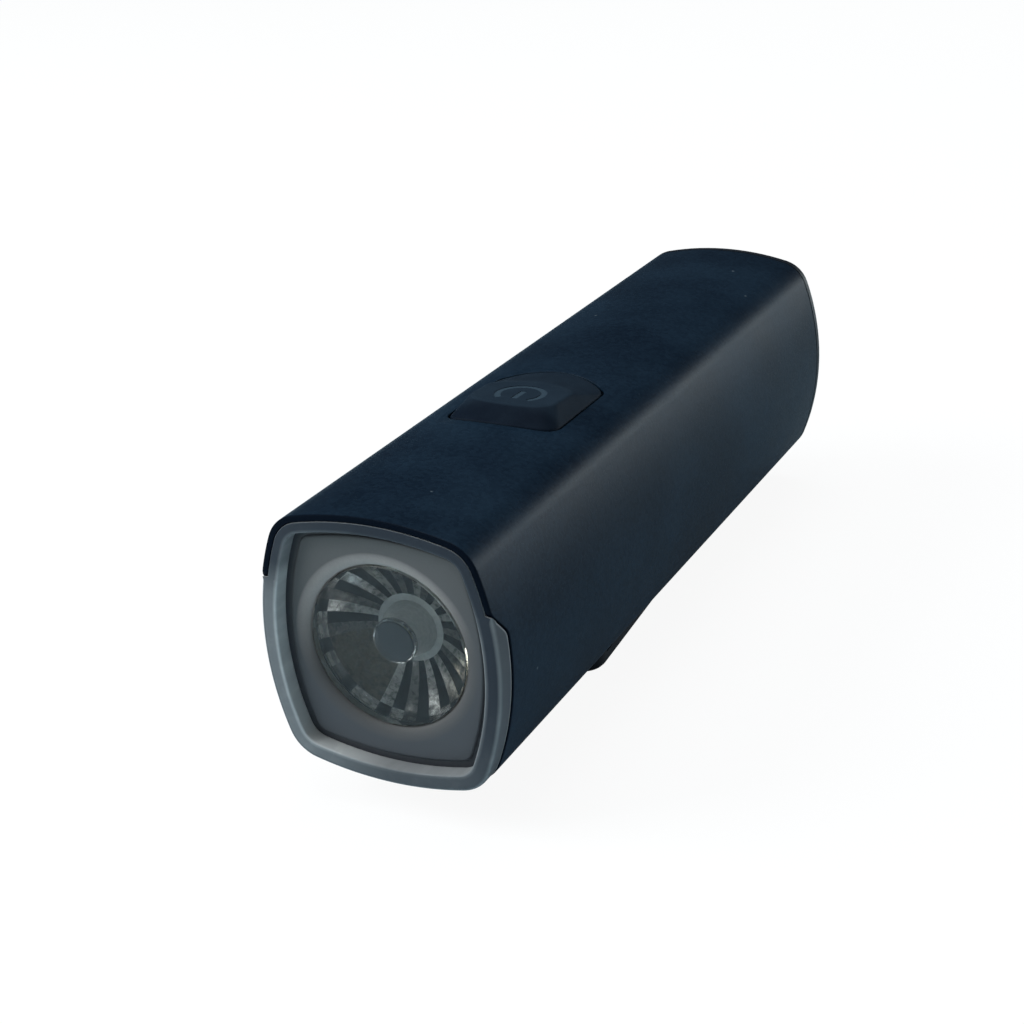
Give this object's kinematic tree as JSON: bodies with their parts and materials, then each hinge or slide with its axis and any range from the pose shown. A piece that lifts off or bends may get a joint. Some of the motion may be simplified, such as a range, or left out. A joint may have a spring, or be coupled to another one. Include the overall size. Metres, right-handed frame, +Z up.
{
  "type": "bike headlight",
  "caption": "Rechargeable bicycle headlight: rounded aluminium tube, recessed fluted optic in a smoky front, push button on top, covered charging port, slide cleat below.",
  "frame": {"origin": "middle of the cleat's flat face, on which the light rests or is mounted", "axes": "+Z up, out of the push button; -Y is the way the light shines; +X to the right seen from the front"},
  "size_m": [0.029, 0.1063, 0.0366],
  "materials": {
    "anodised_shell": "black anodised, bead blasted",
    "smoked_lens": "clear polycarbonate with a smoky tint",
    "bezel_grey": "fine matte grey",
    "optic_clear": "polished clear acrylic",
    "dark_seal": "soft black silicone",
    "holder_white": "glossy white moulding",
    "phosphor": "yellow phosphor under a clear dome",
    "board_white": "white coated metal board",
    "board_green": "green solder mask",
    "chip_black": "black epoxy",
    "bare_aluminium": "machined",
    "screw_steel": "zinc plated steel",
    "screw_black": "black oxide steel",
    "frame_black": "moulded black nylon",
    "cell_wrap": "shrink wrap over a steel can",
    "nickel": "nickel strip",
    "foam": "closed foam",
    "wire_red": "silicone insulation",
    "ferrite": "ferrite",
    "switch_black": "moulded switch body",
    "led_amber": "indicator diode",
    "button_rubber": "matte soft-touch rubber",
    "cap_black": "moulded black plastic",
    "cover_rubber": "flexible rubber",
    "cleat_black": "glass filled nylon"
  },
  "bodies": {
    "housing": {"body_tube": "anodised_shell", "front_lens": "smoked_lens", "lens_seal": "dark_seal", "optic_bezel": "bezel_grey", "optic_gasket": "dark_seal", "tir_optic": "optic_clear", "optic_holder": "holder_white", "led_emitter": "phosphor", "led_board": "board_white", "led_board_screws": "screw_steel", "heat_slug": "bare_aluminium", "led_wires": "wire_red", "inner_frame": "frame_black", "battery_cell": "cell_wrap", "cell_tabs": "nickel", "cell_pad": "foam", "main_board": "board_green", "board_chips": "chip_black", "board_inductor": "ferrite", "board_screws": "screw_steel", "tact_switch": "switch_black", "status_leds": "led_amber", "usb_socket": "screw_steel", "rear_cap": "cap_black", "rear_seal": "dark_seal", "rear_cap_screws": "screw_black", "port_cover_anchor": "cover_rubber", "mount_cleat": "cleat_black", "cleat_screws": "screw_black", "nut_plate": "screw_steel"},
    "button": {"button_pad": "button_rubber", "button_plunger": "frame_black", "switch_stem": "switch_black"},
    "cover": {"port_cover": "cover_rubber"}
  },
  "joints": [
    {"name": "button_press", "type": "slide", "parent": "housing", "child": "button", "axis": [0, 0, -1], "range_m": [0, 0.0004], "stiffness_N_per_m": 600, "springref_m": -0.0002},
    {"name": "port_cover_hinge", "type": "hinge", "parent": "housing", "child": "cover", "pos_m": [0, 0.05355, 0.0239], "axis": [-1, 0, 0], "range_deg": [0, 110]}
  ]
}
